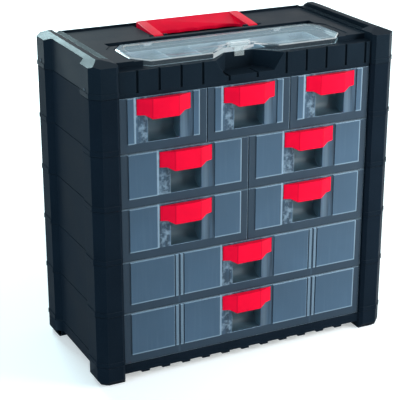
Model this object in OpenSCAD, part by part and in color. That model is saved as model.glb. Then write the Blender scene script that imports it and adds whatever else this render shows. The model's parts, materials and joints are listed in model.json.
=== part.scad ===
// Parts cabinet: stacked moulded frames, nine clear drawers with snap-in pulls,
// a top cover with a clear organiser lid, and a carry handle that folds flat.
// Millimetres, +Z up. The origin is the middle of the footprint, on the floor,
// and the drawers open towards -Y.

/* [Cabinet] */
// Overall width over the seam bands of the corner posts
cabinet_w = 400; // [370:1:440]
// Overall depth over the seam bands of the corner posts
cabinet_d = 191; // [175:1:215]
// Height of the base with its feet
base_h = 25.6; // [24:0.2:34]
// Height of one drawer level
level_h = 66.4; // [64:0.2:80]
// Height of the top cover's corner posts below their chamfers
cover_h = 35; // [33:0.5:45]
// Rise of the top cover's chamfers
crown_h = 5.4; // [4:0.2:8]

/* [Frame mouldings] */
// Wall thickness of the frames and the cover
frame_wall = 2.4; // [1.8:0.1:2.8]
// Thickness of each frame's floor
floor_t = 2.4; // [1.8:0.1:3]
// Width of a corner post across the front
post_front = 33.3; // [30:0.1:36]
// Length of a corner post along the side
post_side = 35.2; // [32:0.1:40]
// Chamfer on a post's inner front corner
post_inner_chamfer = 3.5; // [3.4:0.1:4.5]
// Length of the slope between post and side panel
post_slope = 8; // [5:0.5:12]
// Vertical chamfer on a post's outer corner
post_chamfer = 11; // [8:0.5:13]
// Depth of the side panels behind the posts
panel_recess = 7.8; // [5:0.1:10]
// Depth of the back panel behind the posts
back_recess = 3; // [1.5:0.5:5]
// How far the band above each seam stands proud
band_proud = 0.7; // [0.4:0.1:1.2]
// Height of the band above each seam
band_h = 5.5; // [3:0.5:8]
// Height of the shadow groove under each seam
seam_h = 1.2; // [0.8:0.1:2]
// Depth of the shadow groove under each seam
seam_d = 0.8; // [0.4:0.1:1.2]
// Height of the spigots that locate one frame in the next
spigot_h = 4; // [3:0.5:6]
// Gap round each spigot
spigot_gap = 0.3; // [0.2:0.05:0.5]
// Wall of each spigot
spigot_wall = 2; // [1.6:0.1:2.4]

/* [Feet and skirt] */
// Height of the taper at the bottom of each foot
foot_taper_h = 7; // [4:0.5:9]
// How far each foot tapers in
foot_taper = 5; // [2:0.5:8]
// Height of the skirt's lower edge above the floor
skirt_z = 10; // [9.5:0.5:13]
// How far the skirt's teeth reach below that edge
tooth_drop = 3; // [1:0.5:4]
// Width of a tooth
tooth_w = 10.5; // [8:0.5:14]

/* [Fascia] */
// Setback of the fascia and the drawer panels behind the posts
face_setback = 5.8; // [4:0.1:8]
// Width from one fascia block to the next
block_pitch = 27.3; // [24:0.1:30]
// Width of the groove between two blocks
block_gap = 3.2; // [2:0.1:5]
// How far the blocks stand proud of the fascia
block_proud = 2.2; // [1:0.1:3]
// Distance of the first groove from the middle, on the left
block_start = 142.6; // [130:0.1:150]
// Height of the fascia's blocks
block_h = 26; // [22:0.5:28]
// Depth of the ledge between the fascia and the plate's front lips
ledge_d = 16; // [13:0.5:18]
// Half width of the latch recess at its top
recess_top = 45; // [40:0.5:50]
// Half width of the latch recess at its bottom
recess_bottom = 32; // [26:0.5:36]
// Half width of the latch recess at its back
recess_back = 18; // [17:0.5:22]
// Height of the latch recess's floor above the top seam
recess_floor = 7; // [6:0.1:9]
// Place of the left joint between the low blocks of the latch recess
low_joint_left = -26.8; // [-29:0.1:-24]
// Place of the right joint between the low blocks of the latch recess
low_joint_right = 10; // [6:0.1:14]

/* [Top plate and rails] */
// Depth of the plate below the rails' crowns
plate_drop = 6.5; // [5:0.5:8]
// Thickness of the plate
plate_t = 2.4; // [1.8:0.1:3]
// Width of the outer slope of each rail
rail_slope = 14.4; // [12:0.1:16]
// Length of the front slope on the posts
front_slope = 23; // [16:0.5:26]
// Length of the back slope on the posts
back_slope = 10; // [6:0.5:14]
// Width of each rail's crown
rail_crown = 6.4; // [5:0.1:8]
// Width of the floor of each rail's groove
groove_w = 9.2; // [7:0.1:10]
// Distance of the grooves' front ends behind the posts' fronts
groove_start = 30; // [26:0.5:34]
// Height of the ridges along the plate's sides
ridge_h = 3; // [2:0.1:4]
// Height of the rim along the plate's back edge
rim_h = 2.2; // [1.5:0.1:3]
// Depth of the step round the organiser lid
step_d = 0.8; // [0.4:0.1:1.2]
// Width of the step round the organiser lid
step_w = 10; // [6:0.5:12]

/* [Organiser] */
// Half width of the lid along its front edge
lid_front_half = 121; // [114:1:126]
// Half width of the lid at its widest
lid_half = 138; // [131:1:142]
// Half width of the lid along its back edge
lid_back_half = 126; // [119:1:130]
// Depth of the lid from front to back
lid_d = 81.5; // [78:0.5:84]
// Depth of the lid's slanted front corners
lid_front_corner = 21.5; // [18:0.5:26]
// Depth of the lid's slanted back corners
lid_back_corner = 16; // [12:0.5:20]
// Setback of the lid's front edge behind the fascia
lid_setback = 9.5; // [8:0.5:12]
// Height of the lid's rim
lid_h = 7; // [6.5:0.1:8]
// How far the lid stands above the plate
lid_proud = 0.3; // [0.2:0.1:2]
// Bevel round the lid's top
lid_bevel = 1.2; // [1.2:0.1:1.8]
// Wall thickness of the lid
lid_wall = 1.8; // [1.4:0.1:2]
// Width of the border round the lid's inner field
field_inset = 9; // [7:0.5:11]
// Depth of the lid's inner field
field_d = 0.5; // [0.3:0.1:0.8]
// Half width of the lid's notch at its mouth
notch_front = 43; // [38:1:46]
// Half width of the lid's notch at its back
notch_back = 20; // [18:0.5:23]
// Depth of the lid's notch
notch_d = 19.5; // [18:0.5:21]
// Gap round the lid in the plate
lid_gap = 1.5; // [1:0.1:2.5]
// Wall thickness of the compartment tray
tray_wall = 1.4; // [1:0.1:2]
// Compartments across the tray
tray_columns = 6; // [4:1:7]
// Corner radius of the compartments
tray_corner = 3; // [1:0.5:5]
// Half width of the latch's head
latch_half = 12; // [10:0.5:14]
// Half width of the latch's tongue
tongue_half = 6.2; // [5:0.1:7]
// Radius of the latch's barrel
barrel_r = 2.6; // [2.2:0.1:3]
// Radius of the lid's hinge pins
lid_pin_r = 1.5; // [1.2:0.1:1.8]
// Distance of each lid hinge from the middle
lid_hinge_x = 88; // [80:1:100]

/* [Handle] */
// Half width of the handle
handle_half = 71; // [66:1:76]
// Length of the handle from its rounded front ends to its back edge
handle_l = 59; // [55:1:62]
// Setback of the handle's back edge from the cabinet's back
handle_back = 12; // [10:0.5:16]
// Thickness of the handle at its back edge
handle_t = 13; // [11:0.5:14]
// Thickness of the grip at its front edge
grip_edge_t = 3.5; // [3:0.1:5]
// Depth of the grip
grip_d = 31; // [28:0.5:34]
// Width of each handle arm
arm_w = 13; // [11:0.5:15]
// Thickness of each arm at its pivot
arm_t = 7; // [6:0.5:8]
// Radius of the handle's pivot pins
handle_pin_r = 2; // [1.6:0.1:2.4]
// Depth of the pocket under the handle
pocket_d = 10; // [9:0.5:14]
// Finger dents along the grip
finger_count = 4; // [3:1:4]
// Width of one finger dent
finger_pitch = 25; // [20:0.5:25]
// Depth of the finger dents
finger_sag = 2; // [1:0.1:3]

/* [Drawers] */
// Gap between the outer drawers and the posts
drawer_side_gap = 1.4; // [1:0.1:2]
// Gap between two drawers of a row
drawer_gap = 1.2; // [0.8:0.1:2]
// Gap above each drawer front
front_gap = 0.8; // [0.5:0.1:1.5]
// How far each drawer front reaches below its level
front_drop = 3.3; // [2.5:0.1:4]
// Thickness of a drawer's front plate
front_t = 2; // [1.6:0.1:2.5]
// How far the frosted panels stand proud
panel_proud = 1; // [0.6:0.1:1.5]
// Height of the ledge below the panels
ledge_h = 11.1; // [9:0.1:13]
// Width of the plain strip beside the outer panels
panel_margin = 9.3; // [7:0.1:11]
// Distance of a wide drawer's ribs from its middle
rib_x = 92.2; // [86:0.1:98]
// Width of each rib
rib_w = 3.6; // [2.5:0.1:5]
// Half width of the plain zone behind each pull
niche_zone = 37.2; // [36:0.1:40]
// Half width of the finger niche
niche_half = 20; // [18:0.5:22]
// Depth of the finger niche
niche_d = 18; // [15:0.5:22]
// Wall thickness of the bins
bin_wall = 1.6; // [1.2:0.1:2]
// Setback of the bins' sides behind the fronts' ends
bin_inset = 2.2; // [2:0.1:2.4]
// Height of the bins' walls
bin_h = 56; // [50:0.5:57]
// Depth of the bins
bin_d = 168; // [150:1:171]
// Travel of each drawer to its stop
drawer_travel = 125; // [100:1:130]
// Half width of each pull
pull_half = 34; // [31:0.5:36]
// Half width of a pull's front face
pull_front_half = 16.5; // [14:0.5:19]
// Wall thickness of a pull
pull_wall = 2; // [1.5:0.1:2.2]
// Height of a pull at its ends
pull_end_h = 19; // [16:0.5:22]
// Height of a pull in its middle
pull_h = 24; // [20:0.5:27]

/* [Hidden] */
$fn = 48;
eps = 0.01;

// Clearances
slide_gap = 0.3;     // under and beside what slides
fit_gap = 0.1;       // round pins and snap pegs
seat_gap = 0.2;      // above and below loose plates

// Drawers in each level, from the bottom up
LEVELS = 5;
PER_LEVEL = [1, 1, 2, 2, 3];

// Main planes
half_w = cabinet_w / 2 - band_proud;
half_d = cabinet_d / 2 - band_proud;
bay_half = cabinet_w / 2 - band_proud - post_front;
face_y = -half_d + face_setback;
front_y = face_y + panel_proud;
frame_front_y = front_y + front_t + 0.8;
back_y = half_d - back_recess;
bay_back_y = back_y - frame_wall;
top_z = base_h + LEVELS * level_h;
post_top_z = top_z + cover_h;
crown_z = post_top_z + crown_h;
plate_z = crown_z - plate_drop;
slope_end = post_side + post_slope;

function level_z(level) = base_h + (level - 1) * level_h;

// Moves every edge of an anticlockwise outline inwards by t
function inset(p, t) = let (n = len(p)) [for (i = [0 : n - 1])
    let (a = p[(i + n - 1) % n], b = p[i], c = p[(i + 1) % n],
        u = (b - a) / norm(b - a), v = (c - b) / norm(c - b))
    b + t / (1 + u * v) * [-(u[1] + v[1]), u[0] + v[0]]];

// Points of an arc, anticlockwise where a1 > a0
function arc(c, r, a0, a1, n = 6) = [for (i = [0 : n]) c + r * [cos(a0 + (a1 - a0) * i / n), sin(a0 + (a1 - a0) * i / n)]];

function mirrored(p) = [for (i = [len(p) - 1 : -1 : 0]) [-p[i][0], p[i][1]]];

// Right side of the cabinet, from the front to the back
SIDE_LINE = [
    [half_w - post_chamfer, -half_d],
    [half_w, -half_d + post_chamfer],
    [half_w, -half_d + post_side],
    [half_w - panel_recess, -half_d + slope_end],
    [half_w - panel_recess, half_d - slope_end],
    [half_w, half_d - post_side],
    [half_w, half_d - post_chamfer],
    [half_w - post_chamfer, half_d]];

// Right side as a closed region that ends at the drawer bay
FRONT_CORNER = [[bay_half, -half_d + post_inner_chamfer], [bay_half + post_inner_chamfer, -half_d]];
SIDE = concat(FRONT_CORNER, SIDE_LINE, [[bay_half, half_d]]);

// Whole plan, with the bay's front edge set back behind the drawer fronts
BACK_LINE = [[bay_half, half_d], [bay_half - back_recess, back_y]];
RIGHT_LINE = concat([[bay_half, frame_front_y]], FRONT_CORNER, SIDE_LINE, BACK_LINE);
PLAN = concat(RIGHT_LINE, mirrored(RIGHT_LINE));

module both_sides() {
    children();
    mirror([1, 0, 0]) children();
}

// A prism along Y from a profile drawn in X and Z
module along_y(y0, y1) {
    translate([0, y1, 0]) rotate([90, 0, 0]) linear_extrude(y1 - y0) children();
}

// A prism along X from a profile drawn in Y and Z
module along_x(x0, x1) {
    translate([x0, 0, 0]) rotate([90, 0, 90]) linear_extrude(x1 - x0) children();
}

module box(lo, hi) {
    translate(lo) cube(hi - lo);
}

module pin_x(x0, x1, y, z, r) {
    translate([x0, y, z]) rotate([0, 90, 0]) cylinder(h = x1 - x0, r = r);
}

// Everything left of the line from a to b, with a bevelled shoulder, thinned by t
module wedge(a, b, t, z0, z1, bevel) {
    reach = cabinet_w;
    shoulder = (sqrt(2) - 1) * t;
    translate([a[0], a[1], 0]) rotate([0, 0, atan2(b[1] - a[1], b[0] - a[0])]) along_x(-reach, reach)
        polygon([[t, z0], [reach, z0], [reach, z1 - t], [bevel + shoulder, z1 - t], [t, z1 - bevel - shoulder]]);
}

// ---- Frames ----

// The two halves of the plan where the corner posts stand
module post_zones(z0, z1) {
    reach = half_d + 2;
    both_sides() {
        box([bay_half, -reach, z0], [half_w + 2, -half_d + post_side, z1]);
        box([bay_half, half_d - post_side, z0], [half_w + 2, reach, z1]);
    }
}

// Band that stands proud of the posts just above a seam
module seam_band(z) {
    intersection() {
        both_sides() translate([0, 0, z]) linear_extrude(band_h) difference() {
            polygon(inset(SIDE, -band_proud));
            polygon(inset(SIDE, frame_wall / 2));
        }
        post_zones(z, z + band_h);
    }
}

// Spigots that drop into the posts of the frame below
module spigots(z) {
    intersection() {
        both_sides() translate([0, 0, z - spigot_h]) linear_extrude(spigot_h + eps) difference() {
            polygon(inset(SIDE, frame_wall + spigot_gap));
            polygon(inset(SIDE, frame_wall + spigot_gap + spigot_wall));
        }
        post_zones(z - spigot_h, z + eps);
    }
}

// Thick collars that carry the spigots where a moulding has no floor
module collars(z) {
    intersection() {
        both_sides() translate([0, 0, z]) linear_extrude(spigot_h) difference() {
            polygon(inset(SIDE, frame_wall / 2));
            polygon(inset(SIDE, frame_wall + spigot_gap + spigot_wall));
        }
        post_zones(z, z + spigot_h);
    }
}

// Hollow walls of a frame: posts, side panels, bay walls and back panel
module frame_walls(z, h) {
    difference() {
        union() {
            translate([0, 0, z]) linear_extrude(h - seam_h) polygon(PLAN);
            translate([0, 0, z + h - seam_h - eps]) linear_extrude(seam_h + eps) polygon(inset(PLAN, seam_d));
        }
        both_sides() translate([0, 0, z - 1]) linear_extrude(h + 2) polygon(inset(SIDE, frame_wall));
        box([-bay_half, -half_d - 1, z - 1], [bay_half, bay_back_y, z + h + 1]);
    }
}

// Width and place of the drawers in a level
function pitch(n) = (2 * bay_half - 2 * drawer_side_gap + drawer_gap) / n;
function drawer_w(n) = pitch(n) - drawer_gap;
function drawer_x(n, i) = (i - (n - 1) / 2) * pitch(n);

partition_t = 2;
rail_t = 1.2;
rail_h = 2;

// Pairs of ribs that hold the partitions
module partition_rails(n, z) {
    if (n > 1) for (i = [0 : n - 2], s = [-1, 1]) {
        x = drawer_x(n, i) + pitch(n) / 2 + s * (partition_t / 2 + seat_gap / 2 + rail_t / 2);
        box([x - rail_t / 2, frame_front_y + 4, z - eps], [x + rail_t / 2, bay_back_y + eps, z + rail_h]);
    }
}

// Stops under a floor for the drawers of the level below
stop_half = 15;
stop_h = 4.5;
stop_t = 3;
bin_back_y = front_y + bin_d;
stop_back_y = bin_back_y - bin_wall - drawer_travel - slide_gap;
module drawer_stops(n, z) {
    for (i = [0 : n - 1]) {
        x = drawer_x(n, i);
        box([x - stop_half, stop_back_y - stop_t, z - stop_h], [x + stop_half, stop_back_y, z + eps]);
    }
}

module level_frame(level) {
    z = level_z(level);
    color([0.13, 0.16, 0.2]) union() {
        translate([0, 0, z]) linear_extrude(floor_t) polygon(PLAN);
        frame_walls(z, level_h);
        seam_band(z);
        spigots(z);
        partition_rails(PER_LEVEL[level - 1], z + floor_t);
        if (level > 1) drawer_stops(PER_LEVEL[level - 2], z);
    }
}

// A row of raised blocks on the plane y, from z0 to z1, between x0 and x1
module blocks(y, z0, z1, x0, x1) {
    depth = block_proud + 1;
    for (k = [-1 : ceil(2 * block_start / block_pitch)]) {
        left = max(x0, -block_start + k * block_pitch + block_gap / 2);
        right = min(x1, -block_start + (k + 1) * block_pitch - block_gap / 2);
        if (right - left > 2) box([left, y, z0], [right, y + depth, z1]);
    }
}

skirt_top = base_h - front_drop - front_gap;
skirt_y = frame_front_y;
tooth_setback = 1;
cross_rib_h = 12;

module base_frame() {
    foot_x = [[bay_half - 1, 0], [half_w - foot_taper, 0], [half_w, foot_taper_h],
        [half_w, base_h + 1], [bay_half - 1, base_h + 1]];
    foot_y = [[0, base_h + 1], [0, 0], [half_d - foot_taper, 0], [half_d, foot_taper_h], [half_d, base_h + 1]];
    color([0.13, 0.16, 0.2]) union() {
        difference() {
            frame_walls(0, base_h);
            box([-cabinet_w, -cabinet_d, -1], [cabinet_w, cabinet_d, skirt_z]);
        }
        // Feet: post plan, cut by the tapers of both sides
        intersection() {
            both_sides() difference() {
                linear_extrude(base_h - seam_h) polygon(SIDE);
                translate([0, 0, frame_wall]) linear_extrude(base_h) polygon(inset(SIDE, frame_wall));
            }
            both_sides() along_y(-half_d, half_d) polygon(foot_x);
            union() {
                along_x(-half_w, half_w) polygon(foot_y);
                mirror([0, 1, 0]) along_x(-half_w, half_w) polygon(foot_y);
            }
            post_zones(0, base_h);
        }
        // Walls that close the feet towards the middle
        both_sides() for (s = [-1, 1]) {
            y = s * (half_d - post_side + frame_wall / 2);
            intersection() {
                box([bay_half, y - frame_wall / 2, 0], [half_w - panel_recess, y + frame_wall / 2, base_h - spigot_h - 1]);
                along_y(-half_d, half_d) polygon(foot_x);
            }
        }
        // Front skirt with teeth along its lower edge
        box([-bay_half - 1, skirt_y, skirt_z], [bay_half + 1, skirt_y + frame_wall, base_h]);
        box([-bay_half - 1, face_y, skirt_z], [bay_half + 1, skirt_y + eps, skirt_top]);
        for (x = [-block_start + tooth_w / 2 : block_pitch : bay_half - tooth_w]) {
            box([x - tooth_w / 2, face_y + tooth_setback, skirt_z - tooth_drop],
                [x + tooth_w / 2, skirt_y + frame_wall, skirt_z + eps]);
        }
        // Back skirt
        box([-bay_half - 1, bay_back_y, skirt_z], [bay_half + 1, back_y, base_h - seam_h]);
        // Cross ribs between the front and the back
        for (x = [-bay_half / 2, 0, bay_half / 2]) {
            box([x - frame_wall / 2, skirt_y + 1, base_h - cross_rib_h], [x + frame_wall / 2, back_y - 1, base_h]);
        }
    }
}

// Plates between the drawers of one level
window_side = 30;
window_rise = 16;
module partitions(level) {
    n = PER_LEVEL[level - 1];
    z = level_z(level) + floor_t + seat_gap;
    color([0.11, 0.13, 0.16]) for (i = [0 : n - 2]) {
        x = drawer_x(n, i) + pitch(n) / 2;
        difference() {
            box([x - partition_t / 2, frame_front_y + 2, z],
                [x + partition_t / 2, bay_back_y - seat_gap, level_z(level + 1) - seat_gap]);
            // Window that saves material
            box([x - partition_t, frame_front_y + window_side, z + window_rise],
                [x + partition_t, bay_back_y - window_side, level_z(level + 1) - window_rise]);
        }
    }
}

// ---- Top cover ----

ledge_y = face_y + ledge_d;
block_top = top_z + block_h + 1;
block_foot = top_z + 1;
fascia_bottom = top_z - front_drop;
fascia_half = bay_half - drawer_side_gap;
strip_setback = 0.6;     // of the strip below the fascia's blocks
drawer_clear = 6;        // from the fascia's lower edge up to the wall behind it
lid_front_y = face_y + lid_setback;
lid_back_y = lid_front_y + lid_d;
lid_top = plate_z + lid_proud;
lid_bottom = lid_top - lid_h;
recess_back_y = lid_front_y + notch_d;
well_half = lid_half - 14;
well_front = recess_back_y + frame_wall;
well_back = lid_back_y - 2;
well_foot = top_z + 0.6;
well_floor = well_foot + 2;
hinge_y = lid_back_y + 5;
hinge_z = lid_bottom + 1;
trench_half = lid_half + 4;
trench_back = hinge_y + 8;
trench_floor = hinge_z - 6;
handle_y1 = half_d - handle_back;
handle_y0 = handle_y1 - handle_l;
handle_top = crown_z;
handle_z0 = handle_top - handle_t;
pivot_y = handle_y0 + arm_t / 2;
pivot_z = handle_z0 + arm_t / 2;
pocket_z = plate_z - pocket_d;
pocket_half = handle_half + 1.2;
pocket_y0 = handle_y0 - 2;
pocket_y1 = handle_y1 + 3;
ear_t = 5;
ear_r = arm_t / 2 + 0.5;

// Lid outline and its notch, anticlockwise
LID = [[-lid_front_half, lid_front_y], [lid_front_half, lid_front_y], [lid_half, lid_front_y + lid_front_corner],
    [lid_half, lid_back_y - lid_back_corner], [lid_back_half, lid_back_y], [-lid_back_half, lid_back_y],
    [-lid_half, lid_back_y - lid_back_corner], [-lid_half, lid_front_y + lid_front_corner]];
NOTCH = [[-notch_front, lid_front_y], [-notch_back, recess_back_y],
    [notch_back, recess_back_y], [notch_front, lid_front_y]];

// Latch recess seen from the front and from above
RECESS = [[-recess_bottom, top_z + recess_floor], [recess_bottom, top_z + recess_floor],
    [recess_top, block_top], [recess_top, plate_z + 1], [-recess_top, plate_z + 1], [-recess_top, block_top]];
FUNNEL = [[-recess_top, face_y - 1], [recess_top, face_y - 1], [recess_top, face_y],
    [recess_back, recess_back_y], [-recess_back, recess_back_y], [-recess_top, face_y]];
floor_groove_d = 1.2;

// The fascia's grooves on both sides of the recess, and the joints between them
recess_left = -block_start + floor((block_start - recess_top) / block_pitch) * block_pitch;
recess_right = -block_start + ceil((block_start + recess_top) / block_pitch) * block_pitch;
LOW_JOINTS = [recess_left, low_joint_left, low_joint_right, recess_right];

// Rail section and its groove, right side, in X and Z
crown_fall = 0.6;
crown_in = half_w - rail_slope - rail_crown;
ridge_x = bay_half - 0.2;
RAIL = [[bay_half - 1, top_z - 1], [half_w, top_z - 1], [half_w, post_top_z], [half_w - rail_slope, crown_z],
    [crown_in, crown_z - crown_fall], [ridge_x, plate_z + ridge_h], [bay_half - 1, plate_z + ridge_h]];
GROOVE = [[crown_in - groove_w, plate_z], [crown_in, plate_z], [crown_in, crown_z + 1],
    [ridge_x, crown_z + 1], [ridge_x, plate_z + ridge_h]];

// Front and back slopes of the towers, in Y and Z
TOWER = [[-half_d, top_z - 1], [half_d, top_z - 1], [half_d, post_top_z], [half_d - back_slope, crown_z],
    [-half_d + front_slope, crown_z], [-half_d, post_top_z]];

module towers() {
    difference() {
        intersection() {
            both_sides() translate([0, 0, top_z]) linear_extrude(cover_h + crown_h) polygon(SIDE);
            both_sides() along_y(-half_d, half_d) polygon(RAIL);
            along_x(-half_w, half_w) polygon(TOWER);
        }
        both_sides() translate([0, 0, top_z - 1]) linear_extrude(cover_h - frame_wall) polygon(inset(SIDE, frame_wall));
        both_sides() along_y(-half_d + groove_start, half_d + 1) polygon(GROOVE);
    }
}

// Rounded ear that stands on the pocket's floor
module ear(x0, x1) {
    pin_x(x0, x1, pivot_y, pivot_z, ear_r);
    box([x0, pivot_y - ear_r, pocket_z - 1], [x1, pivot_y + ear_r, pivot_z]);
}

inner_ear_x = handle_half - arm_w - slide_gap - ear_t;
outer_ear_x = handle_half + slide_gap;

knuckle_r = 3;
knuckle_w = 10;
lid_ear_w = 4;
lid_pin_reach = knuckle_w / 2 + slide_gap + lid_ear_w;

// Ears on both sides of a lid knuckle
module lid_ears(x) {
    for (s = [-1, 1]) {
        x0 = x + s * (knuckle_w / 2 + slide_gap + lid_ear_w / 2);
        pin_x(x0 - lid_ear_w / 2, x0 + lid_ear_w / 2, hinge_y, hinge_z, knuckle_r);
        box([x0 - lid_ear_w / 2, hinge_y - knuckle_r, trench_floor - 1],
            [x0 + lid_ear_w / 2, hinge_y + knuckle_r, hinge_z]);
    }
}

// Latch: it hangs in the notch, and its hook reaches into a pocket in the recess's back wall
latch_t = 1.8;
latch_back_y = recess_back_y - 0.4;
latch_front_y = latch_back_y - latch_t;
latch_pivot_y = recess_back_y + barrel_r - 0.1;
latch_pivot_z = lid_top + slide_gap + barrel_r;
head_drop = 4.7;
hook_half = 5;
hook_hold = 0.5;
hook_t = 1.6;
hook_z = lid_bottom - 3.3;
pocket_gap = 0.7;
hook_pocket_d = 1.2;

cover_pin_r = 1.5;
pin_head_r = 2.2;
pin_head_t = 0.5;
pin_reach = 4;
cover_pin_y = half_d - (post_chamfer + post_side) / 2;
cover_pin_z = top_z + band_h + pin_head_r + 0.3;

// Fascia with its strip, ledge and blocks
module fascia() {
    back = face_y + block_proud;
    box([-bay_half - 0.5, back, top_z], [bay_half + 0.5, back + frame_wall, block_top]);
    box([-fascia_half, back, fascia_bottom], [fascia_half, back + frame_wall, top_z + 1]);
    box([-bay_half - 0.5, back, block_top - frame_wall], [bay_half + 0.5, ledge_y + 1, block_top]);
    box([-fascia_half, face_y + strip_setback, fascia_bottom], [fascia_half, back + 1, block_foot]);
    blocks(face_y, block_foot - eps, block_top, -fascia_half, recess_left);
    blocks(face_y, block_foot - eps, block_top, recess_right, fascia_half);
    for (i = [0 : 2]) {
        box([LOW_JOINTS[i] + block_gap / 2, face_y, block_foot - eps],
            [LOW_JOINTS[i + 1] - block_gap / 2, back + 1, block_top]);
    }
}

// Walls round the latch recess
module recess_walls() {
    intersection() {
        along_y(face_y + block_proud, recess_back_y + frame_wall) difference() {
            polygon(inset(RECESS, -frame_wall));
            translate([-cabinet_w, block_top - eps]) square(2 * cabinet_w);
        }
        translate([0, 0, top_z]) linear_extrude(cover_h) polygon(inset(FUNNEL, -frame_wall));
    }
}

// Room of the latch recess, with the grooves in its floor and the pocket for the latch's hook
module recess_room() {
    floor_z = top_z + recess_floor;
    intersection() {
        union() {
            along_y(face_y - 1, recess_back_y) polygon(RECESS);
            for (x = [low_joint_left, low_joint_right]) {
                box([x - block_gap / 2, face_y - 1, floor_z - floor_groove_d],
                    [x + block_gap / 2, recess_back_y - 8, floor_z + 1]);
            }
        }
        translate([0, 0, top_z]) linear_extrude(2 * cover_h) polygon(FUNNEL);
    }
    box([-hook_half - 1, recess_back_y - 1, hook_z - hook_t - pocket_gap],
        [hook_half + 1, recess_back_y + hook_pocket_d, hook_z + pocket_gap]);
}

// Towers, fascia, plate and wells, with everything sunk into them
module cover_shell() {
    difference() {
        union() {
            towers();
            seam_band(top_z);
            spigots(top_z);
            collars(top_z);
            drawer_stops(PER_LEVEL[LEVELS - 1], well_foot);
            fascia();
            recess_walls();
            // Plate, its front lips, the back wall and its rim
            box([-bay_half - 1, ledge_y, plate_z - plate_t], [bay_half + 1, back_y, plate_z]);
            box([-bay_half - 1, ledge_y, fascia_bottom + drawer_clear],
                [bay_half + 1, ledge_y + frame_wall, plate_z]);
            box([-bay_half - 1, bay_back_y, top_z], [bay_half + 1, back_y, plate_z]);
            box([-bay_half + 0.5, bay_back_y, plate_z - eps], [bay_half - 0.5, back_y, plate_z + rim_h]);
            // Ring that carries the lid's rim
            translate([0, 0, lid_bottom - seat_gap - frame_wall]) linear_extrude(plate_z - lid_bottom + frame_wall)
                intersection() {
                    polygon(inset(LID, -lid_gap - frame_wall));
                    translate([-cabinet_w, ledge_y]) square([2 * cabinet_w, lid_back_y - ledge_y]);
                }
            // Well of the organiser, hinge trench and handle pocket
            box([-well_half - frame_wall, well_front - frame_wall, well_foot],
                [well_half + frame_wall, well_back + frame_wall, plate_z]);
            box([-trench_half, well_back, trench_floor - frame_wall], [trench_half, trench_back + frame_wall, plate_z]);
            box([-pocket_half - ear_t - 3, pocket_y0 - frame_wall, pocket_z - frame_wall],
                [pocket_half + ear_t + 3, pocket_y1 + frame_wall, plate_z]);
        }
        // Shallow step round the lid
        translate([0, 0, plate_z - step_d]) linear_extrude(step_d + 1) intersection() {
            polygon(inset(LID, -step_w));
            translate([-cabinet_w, -cabinet_d]) square([2 * cabinet_w, cabinet_d + trench_back]);
        }
        // Seat for the lid's rim
        translate([0, 0, lid_bottom - seat_gap]) linear_extrude(lid_h + 1) intersection() {
            polygon(inset(LID, -lid_gap));
            translate([-cabinet_w, -cabinet_d]) square([2 * cabinet_w, cabinet_d + hinge_y]);
        }
        box([-well_half, well_front, well_floor], [well_half, well_back, plate_z + 1]);
        box([-trench_half + frame_wall, well_back + frame_wall, trench_floor],
            [trench_half - frame_wall, trench_back, plate_z + 1]);
        box([-pocket_half, pocket_y0, pocket_z], [pocket_half, pocket_y1, plate_z + 1]);
        recess_room();
    }
}

module top_cover() {
    color([0.13, 0.16, 0.2]) difference() {
        union() {
            cover_shell();
            both_sides() lid_ears(lid_hinge_x);
            both_sides() ear(inner_ear_x, inner_ear_x + ear_t);
            both_sides() ear(outer_ear_x, outer_ear_x + ear_t);
        }
        both_sides() pin_x(inner_ear_x - 1, outer_ear_x + ear_t - 1, pivot_y, pivot_z, handle_pin_r + fit_gap / 2);
        both_sides() pin_x(lid_hinge_x - lid_pin_reach - 1, lid_hinge_x + lid_pin_reach + 1, hinge_y, hinge_z,
            lid_pin_r + fit_gap / 2);
        both_sides() for (s = [-1, 1]) {
            pin_x(half_w - frame_wall - 1, half_w + 1, s * cover_pin_y, cover_pin_z, cover_pin_r + fit_gap / 2);
        }
    }
}

// Snap pins through the cover's sides
module cover_pins() {
    color([0.2, 0.23, 0.27]) both_sides() for (s = [-1, 1]) {
        pin_x(half_w - frame_wall - pin_reach, half_w + 2 * fit_gap, s * cover_pin_y, cover_pin_z, cover_pin_r);
        translate([half_w + fit_gap, s * cover_pin_y, cover_pin_z]) rotate([0, 90, 0])
            cylinder(h = pin_head_t, r1 = pin_head_r, r2 = pin_head_r - pin_head_t);
    }
}

// ---- Organiser ----

tray_gap = 0.5;
tray_top = lid_bottom - 2.5;

// A rectangle w by d with round corners
module round_rect(w, d, r) {
    translate([r, 0]) square([w - 2 * r, d]);
    translate([0, r]) square([w, d - 2 * r]);
    for (x = [r, w - r], y = [r, d - r]) translate([x, y]) circle(r = r);
}

module organiser_tray() {
    x1 = well_half - tray_gap;
    y0 = well_front + tray_gap;
    y1 = well_back - tray_gap;
    z0 = well_floor + seat_gap;
    col = (2 * x1 - tray_wall) / tray_columns;
    color([0.35, 0.42, 0.48]) difference() {
        box([-x1, y0, z0], [x1, y1, tray_top]);
        for (i = [0 : tray_columns - 1]) {
            translate([-x1 + tray_wall + i * col, y0 + tray_wall, z0 + tray_wall]) linear_extrude(cover_h)
                round_rect(col - tray_wall, y1 - y0 - 2 * tray_wall, tray_corner);
        }
    }
}

// The lid's bevelled block, notch and all, thinned by t
module lid_block(t, z0) {
    n = len(LID);
    intersection() {
        intersection_for (i = [0 : n - 1]) wedge(LID[i], LID[(i + 1) % n], t, z0, lid_top, lid_bevel);
        union() for (i = [0 : 2]) wedge(NOTCH[i], NOTCH[i + 1], t, z0, lid_top, lid_bevel);
    }
}

latch_pin_r = 0.9;
latch_ear_w = 3.2;
latch_ear_x = latch_half + slide_gap;

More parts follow.
